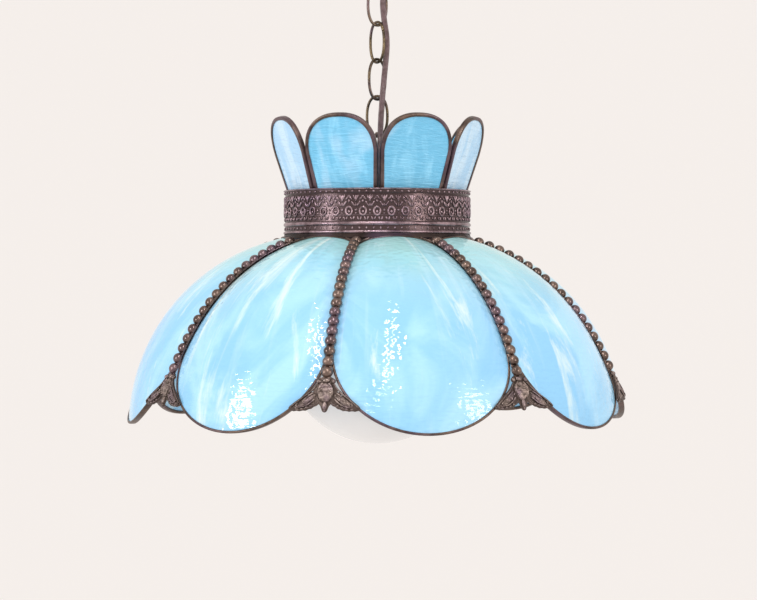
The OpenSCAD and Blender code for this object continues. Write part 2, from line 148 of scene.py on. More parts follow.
# a section carried along stations of (point, across, up)
def sweep(name, stations, section, closed=False):
    sides = len(section)
    count = len(stations)
    points = [p + across * a * mm + up * b * mm for p, across, up in stations for a, b in section]
    faces = []
    for i in range(count if closed else count - 1):
        near, far = i * sides, (i + 1) % count * sides
        for k in range(sides):
            m = (k + 1) % sides
            faces.append((near + k, near + m, far + m, far + k))
    if not closed:
        faces.append(tuple(range(sides)))
        faces.append(tuple((count - 1) * sides + k for k in range(sides)))
    mesh = bpy.data.meshes.new(name)
    mesh.from_pydata(points, [], faces)
    piece = bpy.data.objects.new(name, mesh)
    bpy.context.scene.collection.objects.link(piece)
    return smooth(faceOut(piece))


# finishes
class Wire:
    def __init__(self, finish, socket):
        self.finish = finish
        self.socket = socket

    def calc(self, operation, *values):
        return self.finish.node("ShaderNodeMath", {"operation": operation}, dict(enumerate(values)))

    def __add__(self, other):
        return self.calc("ADD", self, other)

    def __mul__(self, other):
        return self.calc("MULTIPLY", self, other)

    def __pow__(self, other):
        return self.calc("POWER", self, other)

    __radd__ = __add__
    __rmul__ = __mul__


class Finish:
    def __init__(self, name, **constants):
        self.material = bpy.data.materials.new(name)
        self.material.use_nodes = True
        self.tree = self.material.node_tree
        self.shader = self.tree.nodes["Principled BSDF"]
        self.set(**constants)

    def plug(self, socket, value):
        if isinstance(value, Wire):
            self.tree.links.new(value.socket, socket)
        else:
            socket.default_value = value

    def set(self, **values):
        for key, value in values.items():
            self.plug(self.shader.inputs[key.replace("_", " ")], value)

    def node(self, kind, settings={}, inputs={}, output=0):
        made = self.tree.nodes.new(kind)
        for key, value in settings.items():
            setattr(made, key, value)
        for key, value in inputs.items():
            self.plug(made.inputs[key], value)
        return Wire(self, made.outputs[output])

    def place(self, stretch=(1, 1, 1), turn=(0, 0, 0), shift=(0, 0, 0), uv=None):
        if uv:
            start = self.node("ShaderNodeUVMap", {"uv_map": uv})
        else:
            start = self.node("ShaderNodeTexCoord", output="Object")
        return self.node("ShaderNodeMapping", {},
                         {0: start, "Scale": stretch, "Rotation": turn, "Location": shift})

    def noise(self, place, scale, detail=3, rough=0.5, twist=0.0):
        return self.node("ShaderNodeTexNoise", {}, {"Vector": place, "Scale": scale, "Detail": detail,
                         "Roughness": rough, "Distortion": twist})

    def ramp(self, value, low, high):
        return self.node("ShaderNodeMapRange", {"interpolation_type": "SMOOTHSTEP"},
                         {"Value": value, "From Min": low, "From Max": high})

    def split(self, vector):
        first = self.node("ShaderNodeSeparateXYZ", {}, {0: vector})
        return [Wire(self, socket) for socket in first.socket.node.outputs]

    def mix(self, share, a, b):
        return self.node("ShaderNodeMix", {"data_type": "RGBA"}, {0: share, 6: a, 7: b}, 2)

    def bump(self, height, distance, strength=1.0):
        self.set(Normal=self.node("ShaderNodeBump", {}, {"Height": height, "Distance": distance,
                                                         "Strength": strength}))


def paint(red, green, blue):
    def light(v):
        v = v / 255
        return v / 12.92 if v <= 0.04045 else ((v + 0.055) / 1.055) ** 2.4
    return (light(red), light(green), light(blue), 1)


# camera and room
shot = {"place": (0.0012, -2.34, -0.3344), "aim": (0.0012, 0, -0.3531), "lens": 119}
camera = fresh(bpy.ops.object.camera_add, location=shot["place"])
camera.data.lens = shot["lens"]
camera.data.sensor_width = 36
camera.rotation_euler = (Vector(shot["aim"]) - Vector(shot["place"])).to_track_quat("-Z", "Y").to_euler()
bpy.context.scene.camera = camera
bpy.context.scene.view_settings.view_transform = "Standard"

room = {"radius": 6.0, "cove": 2.5, "coveSteps": 12, "sides": 64, "floor": -3.3, "height": 5.0,
        "paint": (0.30, 0.29, 0.28, 1), "light": paint(250, 245, 242), "glow": 0.64}
coveR = room["radius"] - room["cove"]
profile = [(0.0, room["floor"]), (coveR, room["floor"])]
for k in range(1, room["coveSteps"] + 1):
    a = pi / 2 * k / room["coveSteps"]
    profile.append((coveR + room["cove"] * sin(a), room["floor"] + room["cove"] * (1 - cos(a))))
profile.append((room["radius"], room["height"]))
profile.append((0.0, room["height"]))
roomMesh = bpy.data.meshes.new("room")
roomMesh.from_pydata([(0, y, z) for y, z in profile], [(k, k + 1) for k in range(len(profile) - 1)], [])
roomShell = bpy.data.objects.new("room", roomMesh)
bpy.context.scene.collection.objects.link(roomShell)
editAll(roomShell)
bpy.ops.mesh.spin(steps=room["sides"], angle=2 * pi, center=(0, 0, 0), axis=(0, 0, 1))
bpy.ops.mesh.remove_doubles(threshold=0.001)
bpy.ops.mesh.normals_make_consistent(inside=True)
bpy.ops.object.mode_set(mode="OBJECT")
smooth(roomShell, 60)
roomPaint = Finish("roomPaint", Base_Color=room["paint"], Roughness=0.9, Specular_IOR_Level=0.1,
                   Emission_Color=room["light"], Emission_Strength=room["glow"])
roomShell.data.materials.append(roomPaint.material)


def areaLight(name, place, aim, size, watts, colour=(1, 1, 1), height=None):
    light = fresh(bpy.ops.object.light_add, type="AREA", location=place)
    light.name = name
    light.data.energy = watts
    light.data.color = colour
    light.data.size = size
    if height:
        light.data.shape = "RECTANGLE"
        light.data.size_y = height
    light.rotation_euler = (Vector(aim) - Vector(place)).to_track_quat("-Z", "Y").to_euler()


areaLight("ceilingStrip", (-0.12, -1.6, 1.5), (0, 0, -0.35), 0.11, 20, height=1.5)
areaLight("windowLeft", (-3.15, -1.7, 0.15), (0, 0, -0.35), 0.65, 42, (0.93, 0.97, 1), height=1.2)
areaLight("windowRight", (2.8, -2.25, 0.15), (0, 0, -0.35), 0.9, 30, (1, 0.98, 0.95), height=1.1)
areaLight("lowPane", (-0.25, -2.3, 0.75), (0, 0, -0.42), 0.3, 3.5, height=0.12)
print("room and lights ready")


# cord: flat twin, woven down the chain
cordSpec = {"width": 5.4, "thick": 2.7, "length": 0.31, "lobeArc": 250, "lobeSteps": 10, "lobeApart": 0.99,
            "body": paint(84, 64, 63), "worn": paint(108, 86, 88)}
# x, y, z and the turn of the cord's flat side
cordRoute = [
    (0, 0, -3, 31), (0, 0, -22, 31), (0, 0, -36, 31), (0.3, 0, -42, 31), (1.6, -0.5, -48, 31),
    (4, -0.7, -53.5, 31), (6.2, -0.2, -59, 31), (6.2, -0.8, -66, 20), (5.2, -1.5, -75, 8),
    (5.8, -1.5, -85, 0), (7, -1.2, -95, 0), (8.5, -1.5, -105, 0), (9, -1.5, -114, 0),
    (8.7, -1.5, -122, 0), (7.9, -1.8, -131, 0), (6.9, -2.2, -141, 0), (6, -3, -151, 0),
    (5, -4.9, -162, 0), (4.3, -5.8, -172, 0), (3.4, -6, -185, 0), (3, -6.2, -197, 5),
    (2.7, -6.4, -207, 25), (2.3, -6.4, -217, 50), (1.6, -6.2, -226, 68), (1.5, -5.9, -232, 72),
    (1.7, -5, -237.5, 72), (1.9, -3.4, -243, 72), (1.4, -1.6, -249, 72), (0.4, -0.4, -255, 72),
    (0, 0, -261, 72), (0, 0, -275, 72), (0, 0, -290, 72), (0, 0, -308, 72)]


def eased(points, parts):
    ends = [points[0]] + list(points) + [points[-1]]
    made = []
    for k in range(1, len(ends) - 2):
        a, b, c, d = ends[k - 1:k + 3]
        for j in range(parts):
            s = j / parts
            made.append([0.5 * (2 * b[n] + (c[n] - a[n]) * s + (2 * a[n] - 5 * b[n] + 4 * c[n] - d[n]) * s * s
                                + (3 * b[n] - a[n] - 3 * c[n] + d[n]) * s ** 3) for n in range(len(b))])
    made.append(list(points[-1]))
    return made


cordLine = eased(cordRoute, parts=5)
cordPoints = [Vector(p[:3]) * mm for p in cordLine]
stations = []
for k, p in enumerate(cordPoints):
    along = (cordPoints[min(k + 1, len(cordPoints) - 1)] - cordPoints[max(k - 1, 0)]).normalized()
    a = radians(cordLine[k][3])
    flat = Vector((cos(a), sin(a), 0))
    flat = (flat - along * flat.dot(along)).normalized()
    stations.append((p, flat, along.cross(flat)))
core = cordSpec["thick"] / 2
twin = []
for side, middle in ((1, 0), (-1, 180)):
    for k in range(cordSpec["lobeSteps"] + 1):
        a = radians(middle + cordSpec["lobeArc"] * (k / cordSpec["lobeSteps"] - 0.5))
        twin.append((side * core * cordSpec["lobeApart"] + core * cos(a), core * sin(a)))
cordPiece = sweep("cordTwin", stations, twin)
cordVinyl = Finish("cordVinyl", Roughness=0.3, Specular_IOR_Level=0.45)
place = cordVinyl.place()
mottle = cordVinyl.ramp(cordVinyl.noise(place, 260, 3), 0.35, 0.7)
cordVinyl.set(Base_Color=cordVinyl.mix(mottle, cordSpec["body"], cordSpec["worn"]))
cordVinyl.bump(cordVinyl.noise(place, 900, 2), 0.00015, 0.5)
dress(cordPiece, cordVinyl.material, replaces=["cord"])
cordPiece.parent = None
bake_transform(cordPiece)
cordSpec["width"] * mm
print("cord ready")

# lower shade: eight bent petals
shade = {"petals": 8, "ribTurn": -11.3, "startR": 89, "startDrop": 3.3, "rimR": 231.5, "drop": 173,
         "bandFoot": -292, "topSlope": 12, "rimSlope": 88.6, "glass": 3, "edgeGap": 2, "cornerR": 14,
         "topHalf": 33, "tipStart": 0.66, "belly": 10.4, "bellyPeak": 0.587, "topBelly": 0.47,
         "tipBelly": 1.5, "bellyLag": 1.3, "sheetShift": (3.7, 1.3)}
stepTurn = 360 / shade["petals"]
slopeA, slopeB = radians(shade["topSlope"]), radians(shade["rimSlope"])
riseR = (shade["rimR"] - shade["startR"]) / (sin(slopeB) - sin(slopeA))
riseZ = (shade["drop"] - shade["startDrop"]) / (cos(slopeA) - cos(slopeB))
petalLength = (riseR + riseZ) / 2 * (slopeB - slopeA)


# the line down the middle of a petal, t from 0 at the band to 1 at the tip: radius, height and outward normal
def shadeLine(t, lift=0.0):
    a = slopeA + (slopeB - slopeA) * t
    r = shade["startR"] + riseR * (sin(a) - sin(slopeA))
    z = shade["bandFoot"] - shade["startDrop"] - riseZ * (cos(slopeA) - cos(a))
    outR, outZ = riseZ * sin(a), riseR * cos(a)
    size = sqrt(outR * outR + outZ * outZ)
    return r + outR / size * lift, z + outZ / size * lift, outR / size, outZ / size


def bellyAt(t):
    if t < shade["bellyPeak"]:
        start = shade["topBelly"]
        return shade["belly"] * (start + (1 - start) * sin(pi / 2 * t / shade["bellyPeak"]))
    return shade["tipBelly"] + (shade["belly"] - shade["tipBelly"]) * sin(pi * min(1, t) ** shade["bellyLag"])


# a point of the outer face, u from -1 to 1 across the petal
def onGlass(u, t, lift=0.0):
    r, z, outR, outZ = shadeLine(t, lift - bellyAt(t) * u * u)
    a = u * (radians(stepTurn / 2) - shade["edgeGap"] / r)
    return Vector((r * sin(a), -r * cos(a), z)) * mm


def glassOut(u, t):
    across = onGlass(u + 0.01, t) - onGlass(u - 0.01, t)
    up = onGlass(u, t - 0.01) - onGlass(u, t + 0.01)
    return across.cross(up).normalized()


def petalTop(u):
    corner = shade["cornerR"] / shade["topHalf"]
    past = max(0, (abs(u) - 1 + corner) / corner)
    return shade["cornerR"] / petalLength * (1 - sqrt(max(0, 1 - past * past)))


def petalFoot(u):
    return shade["tipStart"] + (1 - shade["tipStart"]) * sqrt(max(0, 1 - u * u))


petal = fresh(bpy.ops.mesh.primitive_grid_add, x_subdivisions=36, y_subdivisions=48, size=2)
petal.data.uv_layers[0].name = "sheet"
for v in petal.data.vertices:
    u, k = sin(v.co.x * pi / 2), (1 - v.co.y) / 2
    v.co = onGlass(u, petalTop(u) + (petalFoot(u) - petalTop(u)) * k)
modify(petal, "SOLIDIFY", thickness=shade["glass"] * mm, offset=-1, use_even_offset=True)
smooth(settle(petal, "petalMould"), 50)

# came of lead-like section round a petal, and the number of steps along its top, sides and foot
came = {"foot": 56, "side": 26, "top": 40,
        "section": [(-1.0, 0.2), (-1.2, 0.6), (-0.9, 1.0), (-0.3, 1.3), (0.4, 1.3), (1.0, 0.9), (1.2, 0.2),
                    (1.2, -3.2), (1.0, -3.9), (0.4, -4.3), (-0.8, -4.3), (-1.6, -4.1), (-2.0, -3.7),
                    (-1.8, -3.3), (0.3, -3.3), (0.3, 0.2)]}
crest = [sin(pi * (k / came["top"] - 0.5)) for k in range(came["top"] + 1)]
foot = [sin(pi * (0.5 - k / came["foot"])) for k in range(came["foot"] + 1)]
sideLength = shade["tipStart"] - petalTop(1)
flank = [(1, petalTop(1) + sideLength * k / came["side"]) for k in range(1, came["side"])]
border = [(u, petalTop(u)) for u in crest] + flank
border += [(u, petalFoot(u)) for u in foot] + [(-u, t) for u, t in reversed(flank)]
stations = []
for k, (u, t) in enumerate(border):
    before, after = border[k - 1], border[(k + 1) % len(border)]
    along = (onGlass(*after) - onGlass(*before)).normalized()
    up = glassOut(u, t)
    stations.append((onGlass(u, t), up.cross(along).normalized(), up))
cameLoop = sweep("cameMould", stations, came["section"], closed=True)

slagGlass = Finish("slagGlass", Roughness=0.04, Specular_IOR_Level=0.5)
drift = slagGlass.noise(slagGlass.place(uv="sheet", stretch=(2.2, 0.9, 1)), 1.0, 2)
fan = slagGlass.place(uv="sheet", stretch=(4.4, 0.8, 1), turn=(0, 0, 0.42))
wisps = slagGlass.ramp(slagGlass.noise(fan, 1.0, 7, 0.66, 1.1), 0.54, 0.67)
fine = slagGlass.place(uv="sheet", stretch=(19, 1.7, 1), turn=(0, 0, 0.42))
threads = slagGlass.ramp(slagGlass.noise(fine, 1.0, 4), 0.52, 0.72)
clouds = slagGlass.noise(slagGlass.place(uv="sheet", stretch=(2.6, 2.0, 1)), 1.0, 4, 0.5, 1.8)
clouds = slagGlass.ramp(clouds, 0.38, 0.66)
height = slagGlass.split(slagGlass.place())[2]
upper = slagGlass.ramp(height + drift * 0.06, -0.345, -0.255)
sky = slagGlass.mix(clouds, paint(132, 186, 222), paint(156, 203, 230))
sky = slagGlass.mix(upper * 0.85, sky, paint(152, 196, 190))
sky = slagGlass.mix(wisps * 0.8, sky, paint(206, 222, 218))
sky = slagGlass.mix(threads * 0.25, sky, paint(186, 214, 228))
# painted light: the petals glow faintly in their own colour, standing in for light shining through the glass
slagGlass.set(Base_Color=sky, Emission_Color=sky, Emission_Strength=0.12)
ripple = slagGlass.noise(slagGlass.place(stretch=(55, 55, 330)), 1.0, 1, 0.5, 0.5)
hammer = slagGlass.noise(slagGlass.place(stretch=(1, 1, 1.5)), 190, 0)
swell = slagGlass.noise(slagGlass.place(), 60, 2)
slagGlass.bump(ripple * 0.5 + hammer * 0.62 + swell * 0.5, 0.0016, 0.5)


def panelGlass(name, deep, pale, milky):
    made = Finish(name, Roughness=0.2, Specular_IOR_Level=0.35)
    veins = made.ramp(made.noise(made.place(stretch=(46, 46, 7)), 1.0, 5, 0.6, 0.6), 0.44, 0.64)
    haze = made.noise(made.place(stretch=(17, 17, 8), shift=(0.3, 0, 0)), 1.0, 3, 0.5, 0.8)
    sky = made.mix(veins, deep, pale)
    sky = made.mix(made.ramp(haze, 0.50, 0.66) * milky, sky, paint(186, 214, 234))
    # painted light: the panes glow faintly in their own colour, standing in for light shining through the
    # glass
    made.set(Base_Color=sky, Emission_Color=sky, Emission_Strength=0.12)
    made.bump(made.noise(made.place(stretch=(60, 60, 330)), 1.0, 4, 0.6, 0.6), 0.0016, 0.7)
    return made.material


crownGlass = panelGlass("crownGlass", paint(108, 178, 212), paint(136, 198, 228), 0.45)
# a paler, milkier copy of the crown glass for panels 2, 4 and 7: on the side-facing panes it is painted
# light, standing in for the brighter light they catch, and it also varies the panes
paleLitGlass = panelGlass("paleLitGlass", paint(162, 202, 232), paint(190, 218, 238), 0.8)

# metals: dark patina with brown and lilac in it, lighter where raised parts are rubbed
def bronze(name, deep, bright, rough=0.30, grain=90.0, rubbed=None, valley=None, dent=0.45):
    made = Finish(name, Metallic=0.85)
    place = made.place()
    tarnish = made.ramp(made.noise(place, grain, 4, 0.6, 0.5), 0.35, 0.68)
    colour = made.mix(tarnish, deep, bright)
    tint = made.ramp(made.noise(place, grain * 0.23, 2), 0.42, 0.62)
    colour = made.mix(tint * 0.3, colour, paint(122, 100, 128))
    if rubbed == "rise":
        raised = made.ramp(made.node("ShaderNodeAttribute", {"attribute_name": "rise"}, output=2), 1.1, 3.4)
    elif rubbed:
        east, north, up = made.split(place)
        raised = made.ramp((east * east + north * north) ** 0.5, rubbed[0] * mm, rubbed[1] * mm)
    if rubbed:
        colour = made.mix(raised, valley, colour)
    made.set(Base_Color=colour, Roughness=rough + tarnish * 0.16)
    made.bump(made.noise(place, 650, 3), 0.0003, dent)
    return made.material


rimBronze = bronze("rimBronze", paint(74, 62, 56), paint(110, 92, 82))
ribBronze = bronze("ribBronze", paint(88, 74, 68), paint(130, 110, 100), rough=0.22, dent=0.2)
bandBronze = bronze("bandBronze", paint(108, 89, 93), paint(170, 146, 152), rough=0.22,
                    rubbed=(86.2, 87.0), valley=paint(80, 65, 66))
charmBronze = bronze("charmBronze", paint(100, 88, 82), paint(170, 152, 144), rough=0.32, grain=330,
                     rubbed="rise", valley=paint(84, 72, 67), dent=1.0)
chainBrass = bronze("chainBrass", paint(70, 60, 46), paint(118, 102, 78), rough=0.24)
canopyBronze = bronze("canopyBronze", paint(78, 64, 58), paint(114, 96, 88), grain=40)
# painted shade: a darkened bronze for the gallery and shoulder rings, standing in for the shade they sit in
# beside the band
shadedRingBronze = bronze("shadedRingBronze", paint(44, 36, 34), paint(64, 52, 48), rough=0.4)
stemBrass = bronze("stemBrass", paint(150, 124, 74), paint(192, 164, 106))


# one copy for each petal, joined to one piece
def stepRound(piece, turn, name):
    ring = joined([copyOf(piece, turn + stepTurn * k) for k in range(shade["petals"])], name)
    bpy.data.objects.remove(piece)
    return ring


for k in range(shade["petals"]):
    turn = shade["ribTurn"] + stepTurn * (k + 0.5)
    glass = copyOf(petal, turn, "petal_%d" % (k + 1))
    east, north = shade["sheetShift"]
    for corner in glass.data.uv_layers["sheet"].data:
        corner.uv = (corner.uv[0] + east * k, corner.uv[1] + north * k)
    dress(glass, slagGlass.material, replaces=["shade_glass_%d" % (k + 1)])
bpy.data.objects.remove(petal)
cames = stepRound(cameLoop, shade["ribTurn"] + stepTurn / 2, "petalCames")
dress(cames, rimBronze, replaces=["shade_rims"])
print("petals ready")

# beaded ribs
rib = {"beads": 18, "bead": 9.4, "start": 0.033, "end": 0.769, "overrun": 0.03, "steps": 40, "stripLow": 1.9,
       "strip": [(-3.5, 0.25), (-3.2, 0), (3.2, 0), (3.5, 0.25), (3.4, 0.9), (2.8, 1.4), (-2.8, 1.4),
                 (-3.4, 0.9)],
       "seat": 1.1, "dome": (1.10, 1.05, 0.98)}


def onRib(t, lift):
    r, z, outR, outZ = shadeLine(t, lift - bellyAt(t))
    return Vector((0, -r, z)) * mm, Vector((0, -outR, outZ))


stations = []
for k in range(rib["steps"] + 1):
    t = (rib["end"] + rib["overrun"]) * k / rib["steps"]
    p, out = onRib(t, rib["stripLow"])
    stations.append((p, Vector((1, 0, 0)), out))
strip = sweep("strip", stations, rib["strip"])
bead = fresh(bpy.ops.mesh.primitive_uv_sphere_add, segments=20, ring_count=12, radius=rib["bead"] / 2 * mm)
editAll(bead)
bpy.ops.mesh.bisect(plane_co=(0, 0, 0), plane_no=(0, 0, 1), use_fill=True, clear_inner=True)
bpy.ops.object.mode_set(mode="OBJECT")
bead.scale = rib["dome"]
smooth(settle(bead), 50)
beads = []
for k in range(rib["beads"]):
    t = rib["start"] + (rib["end"] - rib["start"]) * k / (rib["beads"] - 1)
    p, out = onRib(t, rib["stripLow"] + rib["seat"])
    copy = copyOf(bead)
    copy.rotation_euler = (atan2(-out.y, out.z), 0, 0)
    copy.location = p
    beads.append(copy)
ribPiece = joined([strip] + beads, "ribMould")
bpy.data.objects.remove(bead)
for k in range(shade["petals"]):
    copy = copyOf(ribPiece, shade["ribTurn"] + stepTurn * k, "beadedRib_%d" % (k + 1))
    dress(copy, ribBronze, replaces=["bead_rib_%d" % (k + 1)])
bpy.data.objects.remove(ribPiece)
print("ribs ready")

# chain: bent oval links, each where its CAD node hangs
chain = {"half": 10.0, "wire": 2.7, "cadWire": 2.2, "oval": 2.25, "steps": 48, "sides": 10,
         "turns": [31, -51, 41, -18, 72]}
wire = chain["wire"] / 2
wireRing = []
for k in range(chain["sides"]):
    a = 2 * pi * k / chain["sides"]
    wireRing.append((wire * cos(a), wire * sin(a)))
for k, turn in enumerate(chain["turns"]):
    foot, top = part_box("chain_link_%d" % (k + 1))
    middle = Vector((0, 0, (foot[2] + top[2]) / 2))
    tall = (top[2] - foot[2]) / 2 - (chain["cadWire"] - wire) * mm
    flat = Vector((cos(radians(turn)), sin(radians(turn)), 0))
    side = Vector((flat.y, -flat.x, 0))
    oval = []
    for j in range(chain["steps"]):
        a = 2 * pi * j / chain["steps"]
        east = squarer(cos(a), chain["oval"]) * chain["half"] * mm
        rise = squarer(sin(a), chain["oval"]) * tall
        oval.append(middle + flat * east + Vector((0, 0, rise)))
    stations = []
    for j, p in enumerate(oval):
        along = (oval[(j + 1) % len(oval)] - oval[j - 1]).normalized()
        stations.append((p, along.cross(side), side))
    link = sweep("chainLink_%d" % (k + 1), stations, wireRing, closed=True)
    dress(link, chainBrass, replaces=["chain_link_%d" % (k + 1)])
print("chain ready")

# rib heads: a shaped plate fills the corner between two petals under the band
ribHead = {"length": 15, "half": 12, "neck": 3, "lift": 1.35, "thick": 0.9, "edge": 0.3}


# x in millimetres from the middle of a rib, over the two petals that meet there
def onCorner(x, t, lift):
    r = shadeLine(t)[0]
    half = radians(stepTurn / 2)
    u = min(1, max(0, (half - abs(x) / r) / (half - shade["edgeGap"] / r)))
    r, z = shadeLine(t, lift - bellyAt(t) * u * u)[:2]
    return Vector((r * sin(x / r), -r * cos(x / r), z)) * mm


plate = fresh(bpy.ops.mesh.primitive_grid_add, x_subdivisions=12, y_subdivisions=10, size=2)
for v in plate.data.vertices:
    s = (1 - v.co.y) / 2 * ribHead["length"]
    reach = shade["cornerR"]
    half = min(ribHead["half"], ribHead["neck"] + reach - sqrt(max(0, reach ** 2 - max(0, reach - s) ** 2)))
    v.co = onCorner(v.co.x * half, s / petalLength, ribHead["lift"])
modify(plate, "SOLIDIFY", thickness=ribHead["thick"] * mm, offset=1)
modify(plate, "BEVEL", width=ribHead["edge"] * mm, segments=2, limit_method="ANGLE", angle_limit=radians(60))
heads = stepRound(smooth(plate, 40), shade["ribTurn"], "ribHeads")
dress(heads, ribBronze)
print("rib heads ready")

# embossed band: one repeat of the pattern, then stepped round
band = {"radius": 86.2, "foot": -292, "repeats": 42, "sides": 176,
        "moulding": [(85.3, 0.3), (86.3, 0), (87.2, 0.2), (87.7, 1.0), (87.6, 1.9), (86.9, 2.6), (86.2, 2.9),
                     (86.2, 6.8), (86.7, 7.2), (87.3, 7.9), (87.6, 8.9), (87.3, 9.9), (86.7, 10.5),
                     (86.1, 10.9), (86.1, 15.9), (86.6, 16.1), (86.6, 16.5), (86.1, 16.7), (86.1, 35.1),
                     (85.7, 35.4), (85.7, 35.9), (86.2, 36.3), (86.3, 39.3), (86.7, 39.5), (87.4, 39.7),
                     (87.6, 40.1), (87.3, 40.7), (86.4, 41.0), (85.3, 40.8)],
        # height, half width, half depth, half height of the marks on the middle line of a repeat
        "middle": [(33.6, 1.5, 0.9, 0.8), (29.0, 1.1, 0.9, 1.7), (19.4, 1.3, 1.2, 1.5)],
        # height, radius, wire and scale of the ring round the lowest of them
        "ring": (20, 3.0, 0.95, (1, 1.25, 1.2)),
        # the marks between two repeats
        "between": [(31.4, 1.3, 1.1, 3.3), (25.6, 0.8, 0.8, 1.9), (20.8, 1.05, 1.0, 1.2),
                    (17.9, 0.8, 0.8, 0.8)],
        # x, height, half width, half depth, half height, lean of the marks that come in pairs
        "pair": [(3.2, 37.9, 1.15, 1.0, 1.1, 0), (1.7, 31.6, 0.9, 1.1, 2.2, -42),
                 (3.9, 26.6, 1.0, 1.2, 3.2, -32), (4.7, 32.7, 0.9, 1.1, 2.2, -18),
                 (2.0, 13.5, 0.8, 0.9, 1.9, -20), (4.4, 13.5, 0.8, 0.9, 1.9, 20),
                 (3.2, 4.8, 0.8, 0.8, 1.4, 0)]}
wall = bpy.data.meshes.new("wall")
wallLine = [(0, -r * mm, (band["foot"] + h) * mm) for r, h in band["moulding"]]
wall.from_pydata(wallLine, [(k, (k + 1) % len(wallLine)) for k in range(len(wallLine))], [])
bandPiece = bpy.data.objects.new("bandWall", wall)
bpy.context.scene.collection.objects.link(bandPiece)
editAll(bandPiece)
bpy.ops.mesh.spin(steps=band["sides"], angle=2 * pi, center=(0, 0, 0), axis=(0, 0, 1))
bpy.ops.object.mode_set(mode="OBJECT")
smooth(faceOut(bandPiece, merge=1e-6), 50)
halfStep = pi * band["radius"] / band["repeats"]
marks = [(0, *mark, 0) for mark in band["middle"]] + [(halfStep, *mark, 0) for mark in band["between"]]
marks += band["pair"] + [(-x, *sizes, -lean) for x, *sizes, lean in band["pair"]]
relief = []
for x, high, wide, deep, tall, lean in marks:
    mark = fresh(bpy.ops.mesh.primitive_uv_sphere_add, segments=10, ring_count=6, radius=mm)
    mark.scale = (wide, deep, tall)
    mark.rotation_euler = (0, radians(lean), x / band["radius"])
    mark.location = (x * mm, -sqrt(band["radius"] ** 2 - x * x) * mm, (band["foot"] + high) * mm)
    relief.append(mark)
ringHigh, ringR, ringWire, ringScale = band["ring"]
rosette = fresh(bpy.ops.mesh.primitive_torus_add, major_segments=18, minor_segments=7,
                major_radius=ringR * mm, minor_radius=ringWire * mm, rotation=(pi / 2, 0, 0),
                location=(0, -band["radius"] * mm, (band["foot"] + ringHigh) * mm))
rosette.scale = ringScale
relief.append(rosette)
relief = joined(relief, "bandRelief")
smooth(relief, 70)
editAll(relief)
bpy.ops.mesh.spin(steps=band["repeats"] - 1, dupli=True, center=(0, 0, 0), axis=(0, 0, 1),
                  angle=2 * pi * (band["repeats"] - 1) / band["repeats"])
bpy.ops.object.mode_set(mode="OBJECT")
bandPiece = joined([bandPiece, relief], "bandEmbossed")
dress(bandPiece, bandBronze, replaces=["embossed_band"])
print("band ready")

# corner ornaments: drawn flat with x across and y down, then laid over the petals' corners
charm = {"top": rib["end"] + 0.030, "lift": 1.7, "plate": 1.2, "edge": 0.25, "holeSteps": 10,
         "cut": (2.5, 2.8), "cuts": (12, 10),
         "half": [(0, -2.5), (3, -2.8), (5.6, -1.6), (6.6, 0.6), (6.2, 2.8), (7.6, 4.6), (10.6, 8.2),
                  (14.5, 12), (20.5, 16.6), (25.5, 20.4), (30, 24.2), (31.2, 26), (29.8, 27.6), (26.6, 28.4),
                  (24.2, 27.9), (21.6, 28.3), (18.8, 27.6), (16.2, 27.7), (13.6, 26.4), (11.4, 25.9),
                  (9.4, 24.2), (7.2, 23.4), (5.2, 21.6), (3.6, 23.4), (2.8, 25.4), (2.2, 27.2), (1.2, 28.6),
                  (0, 29.0)],
         # x, y, half width, half length, turn of each piercing
         "holes": [(11.2, 10.9, 0.7, 1.2, -45), (14.4, 14.0, 0.6, 1.0, -50)],
         # x, y, height, half width, half length, half height, turn
         "domes": [(0, 11.2, 0.8, 7.7, 9.8, 3.2, 0), (0, 22.8, 0.9, 2.6, 5.0, 2.3, 0),
                   (0, 27.4, 1.0, 1.4, 1.6, 1.5, 0), (0, 0.4, 1.0, 3.6, 2.7, 2.6, 0),
                   (0, 6.4, 2.3, 5.9, 1.0, 1.8, 0), (0, 10.8, 2.7, 6.5, 1.1, 1.9, 0),
                   (0, 15.2, 2.1, 5.7, 1.0, 1.8, 0), (0, 19.2, 1.4, 4.0, 0.8, 1.6, 0)],
         # the same, on both sides
         "sides": [(6.3, 1.4, 1.2, 2.3, 2.3, 2.0, 0), (16.4, 19.8, 0.5, 3.6, 12.6, 2.1, -53),
                   (15.5, 25.2, 1.1, 1.7, 1.4, 1.3, 20), (19.6, 26.4, 1.1, 1.8, 1.3, 1.3, 10),
                   (23.8, 27.0, 1.1, 1.8, 1.2, 1.2, 0), (11.6, 23.6, 1.1, 1.5, 1.4, 1.3, 30),
                   (13.0, 18.6, 2.4, 1.0, 1.6, 0.9, -20), (18.2, 21.2, 2.4, 1.0, 1.3, 0.9, -60),
                   (22.4, 24.0, 2.1, 0.9, 1.2, 0.8, -60), (9.2, 14.6, 2.0, 1.0, 1.5, 1.0, -30)],
         # half thickness, height, then the points of each scroll
         "scrolls": [
             (0.65, 1.6, [(7.0, 3.6), (9.6, 8.2), (14.4, 12.9), (20.2, 17.4), (25.6, 21.6), (29.8, 25.4)]),
             (0.6, 2.5, [(8.8, 17.8), (12.2, 21.4), (16.4, 24.0), (20.8, 25.2), (24.6, 24.6), (24.8, 22.6),
                         (22.8, 22.2)]),
             (0.55, 2.5, [(10.4, 12.4), (13.6, 14.8), (17.0, 17.6), (19.2, 20.0), (18.0, 21.8),
                          (16.0, 20.8), (15.8, 19.0)]),
             (0.75, 2.7, [(2.6, 3.4), (5.4, 6.2), (6.4, 10.4), (5.6, 14.6), (3.6, 18.0)]),
             (0.6, 3.6, [(-4.4, 6.2), (-1.8, 7.6), (1.8, 8.4), (4.6, 9.8)]),
             (0.5, 1.4, [(5.6, 20.4), (8.6, 23.0), (12.0, 24.9), (16.4, 26.3), (21, 27.3), (26, 27.5),
                         (29.4, 26.8)])]}


